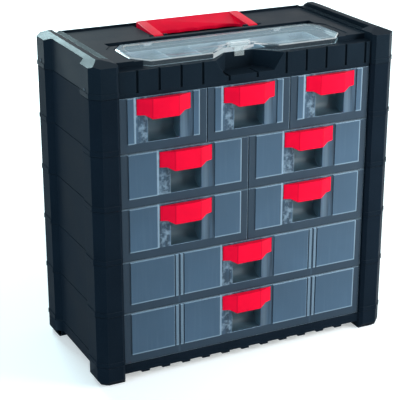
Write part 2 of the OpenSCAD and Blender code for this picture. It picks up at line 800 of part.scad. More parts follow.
module organiser_lid() {
    EDGE = concat([LID[0]], NOTCH, [for (i = [1 : len(LID) - 1]) LID[i]]);
    color([0.6, 0.7, 0.78, 0.5]) difference() {
        union() {
            difference() {
                lid_block(0, lid_bottom);
                lid_block(lid_wall, lid_bottom - 1);
                // Inner field
                translate([0, 0, lid_top - field_d]) linear_extrude(field_d + 1) polygon(inset(EDGE, field_inset));
            }
            // Hinge arms and knuckles
            both_sides() {
                pin_x(lid_hinge_x - knuckle_w / 2, lid_hinge_x + knuckle_w / 2, hinge_y, hinge_z, knuckle_r);
                box([lid_hinge_x - knuckle_w / 2, lid_back_y - 1, hinge_z],
                    [lid_hinge_x + knuckle_w / 2, hinge_y, hinge_z + knuckle_r]);
            }
            // Ears that carry the latch
            both_sides() {
                pin_x(latch_ear_x, latch_ear_x + latch_ear_w, latch_pivot_y, latch_pivot_z, barrel_r);
                box([latch_ear_x, latch_pivot_y - barrel_r + 0.2, lid_top - lid_bevel],
                    [latch_ear_x + latch_ear_w, latch_pivot_y + barrel_r, latch_pivot_z]);
            }
        }
        both_sides() pin_x(lid_hinge_x - lid_pin_reach, lid_hinge_x + lid_pin_reach, hinge_y, hinge_z,
            lid_pin_r + fit_gap);
        pin_x(-notch_back, notch_back, latch_pivot_y, latch_pivot_z, latch_pin_r + fit_gap / 2);
    }
}

module lid_hinge_pins() {
    color("silver") both_sides()
        pin_x(lid_hinge_x - lid_pin_reach, lid_hinge_x + lid_pin_reach, hinge_y, hinge_z, lid_pin_r);
}

module lid_latch() {
    head_top = latch_pivot_z + barrel_r;
    HEAD = [[latch_front_y, latch_pivot_z - head_drop], [latch_back_y, latch_pivot_z - head_drop],
        [latch_back_y, latch_pivot_z - barrel_r], [latch_pivot_y, latch_pivot_z - barrel_r],
        [latch_pivot_y, head_top], [latch_front_y + 1, head_top], [latch_front_y, head_top - 1]];
    HOOK = [[latch_back_y - eps, hook_z - hook_t], [recess_back_y + hook_hold, hook_z - hook_t / 3],
        [recess_back_y + hook_hold, hook_z], [latch_back_y - eps, hook_z]];
    color([0.7, 0.8, 0.86, 0.5]) difference() {
        union() {
            along_x(-latch_half, latch_half) polygon(HEAD);
            pin_x(-latch_half, latch_half, latch_pivot_y, latch_pivot_z, barrel_r);
            // Tongue with its hook
            box([-tongue_half, latch_front_y, hook_z - hook_t - 0.4],
                [tongue_half, latch_back_y, latch_pivot_z - head_drop + eps]);
            along_x(-hook_half, hook_half) polygon(HOOK);
        }
        pin_x(-latch_half - 1, latch_half + 1, latch_pivot_y, latch_pivot_z, latch_pin_r + fit_gap / 2);
    }
}

module latch_pin() {
    reach = latch_ear_x + latch_ear_w - 0.2;
    color("silver") pin_x(-reach, reach, latch_pivot_y, latch_pivot_z, latch_pin_r);
}

// ---- Handle ----

finger_r = (pow(finger_pitch / 2, 2) + pow(finger_sag, 2)) / (2 * finger_sag);

module carry_handle() {
    inner = handle_half - arm_w;
    grip_y = handle_y1 - grip_d;
    corner = 5;
    fillet = 8;
    OUTLINE = [[-handle_half, handle_y0], [handle_half, handle_y0], [handle_half, handle_y1 - corner],
        [handle_half - corner, handle_y1], [-handle_half + corner, handle_y1], [-handle_half, handle_y1 - corner]];
    // Sections of an arm and of the grip share their round back edge
    BACK = concat([[handle_y1 - 4, handle_z0]], arc([handle_y1 - 4, handle_z0 + 4], 4, -90, 0),
        arc([handle_y1 - 3, handle_top - 3], 3, 0, 90));
    ARM = concat(arc([pivot_y, pivot_z], arm_t / 2, 90, 270, 12), BACK);
    GRIP = concat([[grip_y, handle_z0]], BACK, [[grip_y, handle_z0 + grip_edge_t]]);
    color([0.88, 0.1, 0.22]) difference() {
        intersection() {
            translate([0, 0, handle_z0 - 1]) linear_extrude(handle_t + 2) polygon(OUTLINE);
            union() {
                both_sides() along_x(inner, handle_half) polygon(ARM);
                along_x(-inner - eps, inner + eps) polygon(GRIP);
                // Fillets where the arms meet the grip
                intersection() {
                    both_sides() translate([0, 0, handle_z0 - 1]) linear_extrude(handle_t + 2) difference() {
                        translate([inner - fillet, grip_y - fillet]) square([fillet + eps, fillet + eps]);
                        translate([inner - fillet, grip_y - fillet]) circle(r = fillet);
                    }
                    along_x(-inner - 1, inner + 1) polygon([[pivot_y, handle_z0], [handle_y1, handle_z0],
                        [handle_y1, handle_z0 + grip_edge_t], [pivot_y, handle_z0 + grip_edge_t]]);
                }
            }
        }
        // Finger dents along the front of the grip
        for (i = [0 : finger_count - 1]) {
            x = (i - (finger_count - 1) / 2) * finger_pitch;
            intersection() {
                translate([x, grip_y - finger_r + finger_sag, handle_z0 - 1])
                    cylinder(h = handle_t + 2, r = finger_r, $fn = 96);
                box([x - finger_pitch / 2, grip_y - 1, handle_z0 - 2], [x + finger_pitch / 2, handle_y1, handle_top + 1]);
            }
        }
        both_sides() pin_x(inner - 1, handle_half + 1, pivot_y, pivot_z, handle_pin_r + fit_gap);
    }
}

module handle_pins() {
    color("silver") both_sides() pin_x(inner_ear_x, outer_ear_x + ear_t - 1.5, pivot_y, pivot_z, handle_pin_r);
}

// ---- Drawers ----

front_h = level_h - front_gap;
pull_top = front_h - 2.1;
niche_top = pull_top - 1;
peg_r = 1.5;
peg_x = (niche_half + pull_half) / 2;
peg_z = pull_top - pull_end_h / 2;
scoop_r = 12;
rib_slot = 2.7;
rib_edge = 1.5;
rib_zone = rib_slot / 2 + rib_w + rib_edge;
stop_tab_half = 12;

// Spans of the frosted panels right of a pull, with a pair of ribs on a wide drawer
function panel_spans(n) = let (x0 = niche_zone, x1 = drawer_w(n) / 2 - panel_margin)
    n > 1 ? [[x0, x1]] : [[x0, rib_x - rib_zone], [rib_x - rib_slot / 2 - rib_w, rib_x - rib_slot / 2],
        [rib_x + rib_slot / 2, rib_x + rib_slot / 2 + rib_w], [rib_x + rib_zone, x1]];

// Side section of the finger niche, a scoop with a curved floor
function niche_section(z) = concat(
    [[front_y - 1, niche_top + z], [front_y - 1, ledge_h + 0.4 + z]],
    arc([front_y + niche_d - scoop_r, ledge_h + 0.4 + scoop_r + z], scoop_r, -90, 0, 8),
    [[front_y + niche_d, niche_top + z]]);

// One drawer: front plate with panels, bin, niche and stop tab
module drawer(level, index) {
    n = PER_LEVEL[level - 1];
    w = drawer_w(n);
    z = level_z(level) - front_drop;
    bin_z = level_z(level) + floor_t + slide_gap;
    bin_half = w / 2 - bin_inset;
    y_back = bin_back_y;
    color([0.45, 0.56, 0.66, 0.5]) translate([drawer_x(n, index), 0, 0]) difference() {
        union() {
            box([-w / 2, front_y, z], [w / 2, front_y + front_t, z + front_h]);
            both_sides() for (p = panel_spans(n)) {
                box([p[0], face_y, z + ledge_h], [p[1], front_y + eps, z + front_h - 0.9]);
            }
            difference() {
                box([-bin_half, front_y + 1, bin_z], [bin_half, y_back, bin_z + bin_h]);
                box([-bin_half + bin_wall, front_y + front_t, bin_z + bin_wall],
                    [bin_half - bin_wall, y_back - bin_wall, bin_z + bin_h + 1]);
            }
            intersection() {
                along_x(-niche_half - bin_wall, niche_half + bin_wall) polygon(inset(niche_section(z), -bin_wall));
                box([-w, front_y + 1, bin_z], [w, y_back, z + front_h]);
            }
            box([-stop_tab_half, y_back - bin_wall, bin_z + bin_h - eps],
                [stop_tab_half, y_back, level_z(level + 1) - 1]);
        }
        along_x(-niche_half, niche_half) polygon(niche_section(z));
        both_sides() translate([peg_x, front_y + front_t + 1, z + peg_z]) rotate([90, 0, 0]) cylinder(h = front_t + 2, r = peg_r + fit_gap);
    }
}

// One hooded pull with its two snap pegs
module pull(level, index) {
    n = PER_LEVEL[level - 1];
    z = level_z(level) - front_drop;
    y0 = -half_d;
    OUT = [[-pull_half, front_y], [-pull_front_half, y0], [pull_front_half, y0], [pull_half, front_y]];
    HOLLOW = [[-niche_half + 0.5, front_y + 1], [-niche_half + 0.5, front_y - 1], [-pull_front_half + 1.5, y0 + pull_wall],
        [pull_front_half - 1.5, y0 + pull_wall], [niche_half - 0.5, front_y - 1], [niche_half - 0.5, front_y + 1]];
    knee = (pull_front_half + pull_half) / 2;
    FACE = [[-pull_front_half, pull_top - pull_h], [pull_front_half, pull_top - pull_h],
        [knee, pull_top - pull_end_h], [pull_half, pull_top - pull_end_h],
        [pull_half, pull_top], [-pull_half, pull_top],
        [-pull_half, pull_top - pull_end_h], [-knee, pull_top - pull_end_h]];
    color([0.9, 0.1, 0.22]) translate([drawer_x(n, index), 0, z]) union() {
        difference() {
            intersection() {
                linear_extrude(pull_top) polygon(OUT);
                along_y(y0, front_y) polygon(FACE);
            }
            translate([0, 0, pull_top - pull_h - 1]) linear_extrude(pull_h + 1 - pull_wall) polygon(HOLLOW);
        }
        both_sides() translate([peg_x, front_y + front_t + 1, peg_z]) rotate([90, 0, 0]) cylinder(h = front_t + 1.5, r = peg_r);
    }
}

base_frame();
level_frame(1);  // level_frame_1
level_frame(2);  // level_frame_2
level_frame(3);  // level_frame_3
level_frame(4);  // level_frame_4
level_frame(5);  // level_frame_5
top_cover();
cover_pins();
organiser_tray();
organiser_lid();
lid_hinge_pins();
lid_latch();
latch_pin();
carry_handle();
handle_pins();
partitions(3);  // level_3_partition
partitions(4);  // level_4_partition
partitions(5);  // level_5_partitions
drawer(1, 0);  // drawer_1
drawer(2, 0);  // drawer_2
drawer(3, 0);  // drawer_3_left
drawer(3, 1);  // drawer_3_right
drawer(4, 0);  // drawer_4_left
drawer(4, 1);  // drawer_4_right
drawer(5, 0);  // drawer_5_left
drawer(5, 1);  // drawer_5_middle
drawer(5, 2);  // drawer_5_right
pull(1, 0);  // pull_1
pull(2, 0);  // pull_2
pull(3, 0);  // pull_3_left
pull(3, 1);  // pull_3_right
pull(4, 0);  // pull_4_left
pull(4, 1);  // pull_4_right
pull(5, 0);  // pull_5_left
pull(5, 1);  // pull_5_middle
pull(5, 2);  // pull_5_right
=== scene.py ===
# The looks of a stacked parts cabinet: moulded frames, clear drawers with red pulls,
# a clear organiser lid and a folding carry handle. Metres, +Z up, drawers towards -Y.
import json
import math

import bmesh
import bpy
import mathutils
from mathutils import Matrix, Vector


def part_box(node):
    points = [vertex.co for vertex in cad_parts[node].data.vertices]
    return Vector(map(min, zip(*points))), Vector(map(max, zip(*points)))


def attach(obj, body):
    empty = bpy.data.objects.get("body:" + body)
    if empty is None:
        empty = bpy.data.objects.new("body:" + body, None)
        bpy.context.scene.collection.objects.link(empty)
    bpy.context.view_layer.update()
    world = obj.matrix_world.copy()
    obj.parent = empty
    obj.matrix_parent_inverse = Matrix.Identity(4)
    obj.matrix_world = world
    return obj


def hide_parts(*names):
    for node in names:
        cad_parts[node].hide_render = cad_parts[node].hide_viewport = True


bl_info = {
    "name": "Parts Cabinet",
    "version": (1, 0, 0),
    "blender": (4, 5, 0),
    "location": "View3D > Sidebar > Cabinet",
    "description": "Builds a parts cabinet with its plastics, pins and studio",
    "category": "Object",
}

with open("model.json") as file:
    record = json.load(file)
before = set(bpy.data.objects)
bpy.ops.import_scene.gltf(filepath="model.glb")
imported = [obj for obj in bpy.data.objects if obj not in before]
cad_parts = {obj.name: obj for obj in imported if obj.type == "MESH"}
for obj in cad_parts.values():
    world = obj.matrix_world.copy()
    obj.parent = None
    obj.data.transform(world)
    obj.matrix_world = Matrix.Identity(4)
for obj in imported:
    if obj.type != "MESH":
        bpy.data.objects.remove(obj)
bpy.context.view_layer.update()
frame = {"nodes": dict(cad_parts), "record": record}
NODES = frame["nodes"]
BODIES = {n: b for b, ns in frame["record"]["behaviour"]["bodies"].items() for n in ns}
FRONT_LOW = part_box("drawer_1")[0][2]
LEVEL_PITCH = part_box("drawer_2")[0][2] - FRONT_LOW


# ---- Sizes and colours that a user would change ----


class CabinetFrameSettings(bpy.types.PropertyGroup):
    colour: bpy.props.FloatVectorProperty(
        name="Frame colour", description="Colour of the stacked frames",
        subtype="COLOR", size=3, default=(0.0074, 0.0134, 0.0215), min=0, max=1)
    cover_colour: bpy.props.FloatVectorProperty(
        name="Cover colour", description="Colour of the top cover",
        subtype="COLOR", size=3, default=(0.0082, 0.0148, 0.0225), min=0, max=1)
    # Rubbed edges that double as painted highlights, and light specks in the grain, take this colour
    highlight_colour: bpy.props.FloatVectorProperty(
        name="Edge colour", description="Colour that the rubbed edges of the frames turn to",
        subtype="COLOR", size=3, default=(0.03, 0.042, 0.056), min=0, max=1)
    roughness: bpy.props.FloatProperty(
        name="Roughness", description="Roughness of the spark-eroded faces",
        default=0.4, min=0, max=1, subtype="FACTOR")
    gloss: bpy.props.FloatProperty(
        name="Frame gloss", description="Specular level of the stacked frames",
        default=0.006, min=0, max=1, subtype="FACTOR")
    cover_gloss: bpy.props.FloatProperty(
        name="Cover gloss", description="Specular level of the cover, the partitions and the snap pins",
        default=0.022, min=0, max=1, subtype="FACTOR")
    edge_round: bpy.props.FloatProperty(
        name="Edge radius", description="Radius of the moulded edges",
        default=0.0006, min=0, max=0.002, unit="LENGTH")
    foot_taper: bpy.props.FloatProperty(
        name="Foot taper", description="Width of the taper at the feet's lower edges",
        default=0.005, min=0, max=0.008, unit="LENGTH")
    ground: bpy.props.FloatProperty(
        name="Ground", description="Height under which an edge counts as the feet's lowest",
        default=0.0005, min=0.0001, max=0.002, unit="LENGTH")
    grain: bpy.props.FloatProperty(
        name="Grain size", description="Size of the grain on the moulded faces",
        default=0.0009, min=0.0002, max=0.005, unit="LENGTH")
    pin_colour: bpy.props.FloatVectorProperty(
        name="Snap pin colour", description="Colour of the snap pins in the cover's sides",
        subtype="COLOR", size=3, default=(0.05, 0.065, 0.08), min=0, max=1)
    # The snap pins' rubbed edges, which double as painted highlights, take this colour
    pin_highlight_colour: bpy.props.FloatVectorProperty(
        name="Snap pin edge", description="Colour that the snap pins' rubbed edges turn to",
        subtype="COLOR", size=3, default=(0.12, 0.15, 0.18), min=0, max=1)


class CabinetDrawerSettings(bpy.types.PropertyGroup):
    frost_colour: bpy.props.FloatVectorProperty(
        name="Frosted colour", description="Colour of the frosted panels",
        subtype="COLOR", size=3, default=(0.073, 0.14, 0.218), min=0, max=1)
    clear_colour: bpy.props.FloatVectorProperty(
        name="Clear colour", description="Tint of the clear walls of the bins",
        subtype="COLOR", size=3, default=(0.17, 0.29, 0.37), min=0, max=1)
    # Painted highlights take this colour: lit edges, lines of light, ribs, faint streaks, and the bands,
    # patches and lines beside the niche
    highlight_colour: bpy.props.FloatVectorProperty(
        name="Edge colour", description="Colour that gathers in the cut edges of the clear plastic",
        subtype="COLOR", size=3, default=(0.3, 0.43, 0.54), min=0, max=1)
    edge_round: bpy.props.FloatProperty(
        name="Edge radius", description="Radius of the drawers' edges",
        default=0.0009, min=0, max=0.002, unit="LENGTH")
    # Brightness of the painted shade on the recessed plate round the panels
    margin: bpy.props.FloatProperty(
        name="Margin", description="Brightness of the plate round the panels, against the panels",
        default=0.4, min=0, max=2, subtype="FACTOR")
    rib_place: bpy.props.FloatProperty(
        name="Rib place", description="Distance of a wide drawer's rib pair from its middle",
        default=0.0922, min=0, max=0.15, unit="LENGTH")
    rib_half: bpy.props.FloatProperty(
        name="Rib half width", description="Half width of the rib pair",
        default=0.005, min=0, max=0.01, unit="LENGTH")
    slot_half: bpy.props.FloatProperty(
        name="Slot half width", description="Half width of the slot between the ribs",
        default=0.0013, min=0, max=0.005, unit="LENGTH")
    front_depth: bpy.props.FloatProperty(
        name="Front depth", description="Depth of the frosted front, measured from the panels",
        default=0.0031, min=0.001, max=0.01, unit="LENGTH")
    strip_half: bpy.props.FloatProperty(
        name="Strip half width", description="Half width of the clearer zone round the niche",
        default=0.0371, min=0.02, max=0.06, unit="LENGTH")
    niche_half: bpy.props.FloatProperty(
        name="Niche half width", description="Half width of the niche under the pull",
        default=0.02, min=0.01, max=0.04, unit="LENGTH")
    panel_bottom: bpy.props.FloatProperty(
        name="Panel bottom", description="Height of the panels' lower edges above the front's",
        default=0.0111, min=0, max=0.03, unit="LENGTH")
    panel_side: bpy.props.FloatProperty(
        name="Panel side", description="Distance of the outer panels from the front's sides",
        default=0.0093, min=0, max=0.03, unit="LENGTH")
    line_half: bpy.props.FloatProperty(
        name="Line half width", description="Half width of the lines of light along the panels",
        default=0.0007, min=0.0002, max=0.002, unit="LENGTH")
    see_through: bpy.props.FloatProperty(
        name="See-through", description="Share of light that passes the frosted front",
        default=0.22, min=0, max=1, subtype="FACTOR")
    gloss: bpy.props.FloatProperty(
        name="Gloss", description="Specular level of the drawers",
        default=0.18, min=0, max=1, subtype="FACTOR")


class CabinetRedSettings(bpy.types.PropertyGroup):
    colour: bpy.props.FloatVectorProperty(
        name="Red", description="Colour of the pulls and the handle",
        subtype="COLOR", size=3, default=(0.95, 0.004, 0.038), min=0, max=1)
    roughness: bpy.props.FloatProperty(
        name="Roughness", description="Roughness of the red plastic",
        default=0.33, min=0, max=1, subtype="FACTOR")
    gloss: bpy.props.FloatProperty(
        name="Gloss", description="Specular level of the red plastic",
        default=0.055, min=0, max=1, subtype="FACTOR")
    pull_round: bpy.props.FloatProperty(
        name="Pull radius", description="Radius of the pulls' edges",
        default=0.0007, min=0, max=0.001, unit="LENGTH")
    crease_place: bpy.props.FloatProperty(
        name="Crease place", description="Distance of a pull's front creases from its middle",
        default=0.0165, min=0.01, max=0.03, unit="LENGTH")
    handle_round: bpy.props.FloatProperty(
        name="Handle radius", description="Radius of the handle's edges",
        default=0.001, min=0, max=0.003, unit="LENGTH")


class CabinetLidSettings(bpy.types.PropertyGroup):
    colour: bpy.props.FloatVectorProperty(
        name="Lid colour", description="Tint of the organiser's lid",
        subtype="COLOR", size=3, default=(0.64, 0.84, 1.0), min=0, max=1)
    latch_colour: bpy.props.FloatVectorProperty(
        name="Latch colour", description="Tint of the latch",
        subtype="COLOR", size=3, default=(0.85, 0.97, 1.0), min=0, max=1)
    veil: bpy.props.FloatProperty(
        name="Veil", description="Share of light that one face of the lid keeps back",
        default=0.33, min=0, max=1, subtype="FACTOR")
    latch_veil: bpy.props.FloatProperty(
        name="Latch veil", description="Share of light that one face of the latch keeps back",
        default=0.45, min=0, max=1, subtype="FACTOR")
    gloss: bpy.props.FloatProperty(
        name="Gloss", description="Specular level of the lid and the latch",
        default=0.2, min=0, max=1, subtype="FACTOR")
    edge_round: bpy.props.FloatProperty(
        name="Edge radius", description="Radius of the lid's and the latch's edges",
        default=0.0004, min=0, max=0.001, unit="LENGTH")
    tray_colour: bpy.props.FloatVectorProperty(
        name="Tray colour", description="Colour of the compartment tray",
        subtype="COLOR", size=3, default=(0.3, 0.38, 0.44), min=0, max=1)


class CabinetStageSettings(bpy.types.PropertyGroup):
    camera_place: bpy.props.FloatVectorProperty(
        name="Camera place", description="Where the camera stands",
        subtype="XYZ", unit="LENGTH", size=3, default=(-0.6921, -1.3699, 0.7606))
    camera_turn: bpy.props.FloatVectorProperty(
        name="Camera turn", description="Which way the camera looks",
        subtype="EULER", unit="ROTATION", size=3,
        default=(math.radians(69.17), 0.0, math.radians(-26.09)))
    lens: bpy.props.FloatProperty(
        name="Lens", description="Focal length on a 36 mm sensor", default=116.3, min=20, max=300)
    key: bpy.props.FloatProperty(
        name="Key light", description="Power of the key light", default=10.5, min=0, subtype="POWER")
    fill: bpy.props.FloatProperty(
        name="Fill light", description="Power of the lamp at the left",
        default=21.0, min=0, subtype="POWER")
    top_share: bpy.props.FloatProperty(
        name="Top light", description="Power of the lamp above, as a share of the fill light",
        default=0.34, min=0, max=2, subtype="FACTOR")
    back: bpy.props.FloatProperty(
        name="Back light", description="Power of the lamp that glances over the top",
        default=88.0, min=0, subtype="POWER")
    sky: bpy.props.FloatProperty(
        name="Sky", description="Strength of the world's light", default=0.27, min=0, max=2)
    floor_colour: bpy.props.FloatVectorProperty(
        name="Floor colour", description="Colour of the floor",
        subtype="COLOR", size=3, default=(0.8, 0.82, 0.83), min=0, max=1)
    # A glow weaker than the far one, which paints a soft shade round the cabinet
    glow_near: bpy.props.FloatProperty(
        name="Glow near", description="How white the floor looks beside the cabinet",
        default=0.44, min=0, max=1, subtype="FACTOR")
    glow_far: bpy.props.FloatProperty(
        name="Glow far", description="How white the floor looks far from the cabinet",
        default=0.8, min=0, max=1, subtype="FACTOR")


# ---- Node helpers ----

# Cosines between the rounded and the flat normal, on a flat face and on an edge
FLAT_COSINE = 0.995
EDGE_COSINE = 0.86
# The part of a noise's range that is spread out: its middle, and a wider one for soft changes
MIDDLE = (0.35, 0.65)
WIDE = (0.3, 0.7)
WHITE = (1.0, 1.0, 1.0, 1.0)


def new_material(name):
    """An empty material with a plastic shader; gives the material, its tree and the shader."""
    material = bpy.data.materials.new(name)
    material.use_nodes = True
    tree = material.node_tree
    tree.nodes.clear()
    out = tree.nodes.new("ShaderNodeOutputMaterial")
    shader = tree.nodes.new("ShaderNodeBsdfPrincipled")
    tree.links.new(shader.outputs[0], out.inputs[0])
    return material, tree, shader


def plug(tree, socket, value):
    """Links a value that is a socket, and sets one that isn't."""
    if isinstance(value, bpy.types.NodeSocket):
        tree.links.new(value, socket)
    else:
        socket.default_value = value


def add_node(tree, kind, inputs=None, **settings):
    """A node of that kind, with its settings and inputs set or linked."""
    node = tree.nodes.new(kind)
    for name, value in settings.items():
        setattr(node, name, value)
    for name, value in (inputs or {}).items():
        plug(tree, node.inputs[name], value)
    return node


def colour4(colour, factor=1.0):
    """A colour times a factor, with full alpha."""
    return tuple(min(1.0, c * factor) for c in colour) + (1.0,)


def object_place(tree, centre_x=0.0):
    """Object coordinates, measured from a place along X."""
    place = add_node(tree, "ShaderNodeTexCoord")
    mapping = add_node(tree, "ShaderNodeMapping", {"Vector": place.outputs["Object"]})
    mapping.inputs["Location"].default_value = (-centre_x, 0.0, 0.0)
    return mapping.outputs["Vector"]


def separate(tree, vector):
    """The X, Y and Z of a vector."""
    return add_node(tree, "ShaderNodeSeparateXYZ", {"Vector": vector}).outputs


def noise(tree, place, size, detail=2.0, rough=0.5):
    """A noise whose lumps are about that size, in metres."""
    return add_node(tree, "ShaderNodeTexNoise", {
        "Vector": place, "Scale": 1.0 / size, "Detail": detail, "Roughness": rough}).outputs[0]


def drawn_noise(tree, place, stretch, scale, detail):
    """A noise drawn out along the axes whose factor is small."""
    drawn = add_node(tree, "ShaderNodeMapping", {"Vector": place, "Scale": stretch})
    return add_node(tree, "ShaderNodeTexNoise", {
        "Vector": drawn.outputs[0], "Scale": scale, "Detail": detail}).outputs[0]


def ramp(tree, value, low, high, to_low=0.0, to_high=1.0):
    """A value mapped from one range to another, clamped."""
    node = add_node(tree, "ShaderNodeMapRange", {"Value": value, "From Min": low, "From Max": high})
    node.inputs["To Min"].default_value = to_low
    node.inputs["To Max"].default_value = to_high
    return node.outputs[0]


def blend_colour(tree, factor, a, b):
    """A colour that goes from a to b with the factor."""
    node = add_node(tree, "ShaderNodeMix", data_type="RGBA")
    for socket, value in ((node.inputs[0], factor), (node.inputs[6], a), (node.inputs[7], b)):
        plug(tree, socket, value)
    return node.outputs[2]


def clouded(tree, value, colour, low, high, span=MIDDLE):
    """A colour that a noise or a height takes from low to high times itself."""
    return blend_colour(tree, ramp(tree, value, *span), colour4(colour, low), colour4(colour, high))


def maths(tree, operation, a, b=0.0, clamp=False):
    """One sum on two values or sockets."""
    node = add_node(tree, "ShaderNodeMath", operation=operation, use_clamp=clamp)
    for socket, value in zip(node.inputs, (a, b)):
        plug(tree, socket, value)
    return node.outputs[0]


def times(tree, first, *others):
    """The product of several values or sockets."""
    for other in others:
        first = maths(tree, "MULTIPLY", first, other)
    return first


def distance(tree, value, place):
    """How far a value is from a place."""
    return maths(tree, "ABSOLUTE", maths(tree, "SUBTRACT", value, place))


def background_rays(tree):
    """1 for the rays that see the background: the camera's, and those in gloss and clear plastic."""
    seen = add_node(tree, "ShaderNodeLightPath")
    straight = maths(tree, "MAXIMUM", seen.outputs["Is Camera Ray"], seen.outputs["Is Transmission Ray"])
    return maths(tree, "MAXIMUM", straight, seen.outputs["Is Glossy Ray"])


def round_edges(tree, radius, samples=4):
    """The rounded normal near edges, and a mask that is 1 on an edge."""
    bevel = add_node(tree, "ShaderNodeBevel", {"Radius": radius}, samples=samples)
    flat = add_node(tree, "ShaderNodeNewGeometry")
    cosine = add_node(tree, "ShaderNodeVectorMath", {
        0: bevel.outputs[0], 1: flat.outputs["True Normal"]}, operation="DOT_PRODUCT")
    return bevel.outputs[0], ramp(tree, cosine.outputs["Value"], FLAT_COSINE, EDGE_COSINE)


def own_up(tree, normal):
    """How far a normal points up in the piece's own frame, so that it stays when the piece turns."""
    own = add_node(tree, "ShaderNodeVectorTransform", {"Vector": normal},
        vector_type="NORMAL", convert_from="WORLD", convert_to="OBJECT")
    return separate(tree, own.outputs[0])["Z"]


def grain_bump(tree, place, normal, size, depth, strength=0.5):
    """Fine moulded grain as a bump on a normal."""
    grain = noise(tree, place, size, detail=3.0, rough=0.6)
    return add_node(tree, "ShaderNodeBump", {
        "Height": grain, "Strength": strength, "Distance": depth, "Normal": normal}).outputs[0]


def finish(tree, shader, body, roughness, bump=None):
    """Links the colour, the roughness and the bump to a shader."""
    tree.links.new(body, shader.inputs["Base Color"])
    tree.links.new(roughness, shader.inputs["Roughness"])
    if bump is not None:
        tree.links.new(bump, shader.inputs["Normal"])


def set_gloss(shader, level, tint=WHITE):
    """Sets a shader's specular level and tint."""
    shader.inputs["Specular IOR Level"].default_value = level
    shader.inputs["Specular Tint"].default_value = tint


# ---- Materials ----

# Distances from a pull's crease at which its shade begins and is full, in metres
CREASE_SHADE = (0.0012, 0.0004)
# On a drawer, in metres: how softly its zones end, and how deep the panels' faces lie
FADE = 0.0003
THIN_FADE = 0.0001
PANEL_SKIN = 0.0003
# Beside the niche, in metres: the painted light band's distance from it, the distances from the band's middle
# at which its light begins and is full, and half the width over which the left painted highlight patches
# begin
BAND_PLACE = 0.005
BAND_LIGHT = (0.006, 0.001)
PATCH_FADE = 0.002
# At the strips' left edge, in metres: the painted line of light's distance from it, and where its light
# begins and is full
LINE_PLACE = 0.0014
LINE_LIGHT = (0.0014, 0.0006)
# Beyond and inside a rib pair's half width, in metres: where its light begins and is full
RIB_OUTSIDE = 0.0012
RIB_INSIDE = 0.0006


def dark_plastic(name, colour, highlight_colour, roughness, radius, grain, gloss):
    """Satin moulded plastic: fine grain, clouded colour, and lighter edges that are partly rubbed and partly
    a painted highlight.
    """
    material, tree, shader = new_material(name)
    place = object_place(tree)
    normal, edge = round_edges(tree, radius)
    cloud = noise(tree, place, size=0.05, detail=3.0)
    specks = noise(tree, place, size=grain * 1.6, detail=2.0, rough=0.7)
    patches = noise(tree, place, size=0.012, detail=3.0)
    body = clouded(tree, cloud, colour, low=0.93, high=1.09)
    body = blend_colour(tree, ramp(tree, specks, 0.55, 0.75, to_high=0.25), body, colour4(highlight_colour))
    # Rubbed edges in patches, which double as painted edge highlights
    rub_and_highlight = times(tree, edge, ramp(tree, patches, 0.3, 0.6, to_low=0.55))
    body = blend_colour(tree, rub_and_highlight, body, colour4(highlight_colour))
    uneven = ramp(tree, cloud, *WIDE, to_low=roughness - 0.05, to_high=roughness + 0.05)
    finish(tree, shader, body, uneven, grain_bump(tree, place, normal, grain, depth=0.00009))
    set_gloss(shader, gloss, tint=(0.5, 0.8, 1.0, 1.0))
    return material


def red_plastic(name, settings, radius, edge_shade, centre=None):
    """Glossy red plastic with a faint flow; painted shade lies along its edges and a pull's two front
    creases.
    """
    material, tree, shader = new_material(name)
    place = object_place(tree, centre or 0.0)
    normal, edge = round_edges(tree, radius)
    flow = noise(tree, place, size=0.02)
    body = clouded(tree, flow, settings.colour, low=0.95, high=1.03)
    # Painted shade along the edges
    painted_shade = times(tree, maths(tree, "MULTIPLY", edge, 3.0, clamp=True), edge_shade)
    if centre is not None:
        # Painted shade along a pull's two front creases
        across = maths(tree, "ABSOLUTE", separate(tree, place)["X"])
        crease = ramp(tree, distance(tree, across, settings.crease_place), *CREASE_SHADE, to_high=0.4)
        painted_shade = maths(tree, "MAXIMUM", painted_shade, crease)
    body = blend_colour(tree, painted_shade, body, colour4(settings.colour, 0.45))
    uneven = ramp(tree, flow, *WIDE, to_low=settings.roughness - 0.04, to_high=settings.roughness + 0.05)
    bump = grain_bump(tree, place, normal, size=0.0012, depth=0.00003, strength=0.3)
    finish(tree, shader, body, uneven, bump)
    set_gloss(shader, settings.gloss, tint=(1.0, 0.55, 0.65, 1.0))
    return material


class DrawerZones:
    """Where a point lies on a drawer, as sockets; each zone is 1 inside and 0 outside."""

    def __init__(self, tree, settings, place, half_width):
        axes = separate(tree, place)
        front_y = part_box("drawer_1")[0][1]
        front_back = front_y + settings.front_depth
        bottom = settings.panel_bottom
        self.across = axes["X"]
        self.beside = maths(tree, "ABSOLUTE", axes["X"])
        self.rise = maths(tree, "MODULO", maths(tree, "SUBTRACT", axes["Z"], FRONT_LOW), LEVEL_PITCH)
        skin = front_y + PANEL_SKIN
        edge = settings.strip_half
        self.front = ramp(tree, axes["Y"], front_back + 2 * THIN_FADE, front_back)
        self.panel = ramp(tree, axes["Y"], skin + THIN_FADE, skin)
        self.above_ledge = ramp(tree, self.rise, bottom - FADE, bottom + FADE)
        inside = ramp(tree, self.beside, edge + THIN_FADE, edge - THIN_FADE)
        self.strip = times(tree, inside, self.front, self.above_ledge)
        self.panel_right = half_width - settings.panel_side


def frosted_plate(tree, settings, zones, cloud, streaks):
    """The frosted panels, with painted shade deepening towards their tops, and painted shade on the recessed
    plate round them.
    """
    frost = settings.frost_colour
    body = clouded(tree, cloud, frost, low=0.92, high=1.08, span=WIDE)
    streaked = ramp(tree, streaks, 0.5, 0.8, to_high=0.06)
    body = blend_colour(tree, streaked, body, colour4(settings.highlight_colour))
    # Painted shade that deepens towards the panels' tops
    upward_shade = ramp(tree, zones.rise, settings.panel_bottom, LEVEL_PITCH, to_high=0.5)
    body = blend_colour(tree, upward_shade, body, colour4(frost, 0.66))
    # Painted shade on the recessed plate round the panels
    return blend_colour(tree, zones.panel, colour4(frost, settings.margin), body)


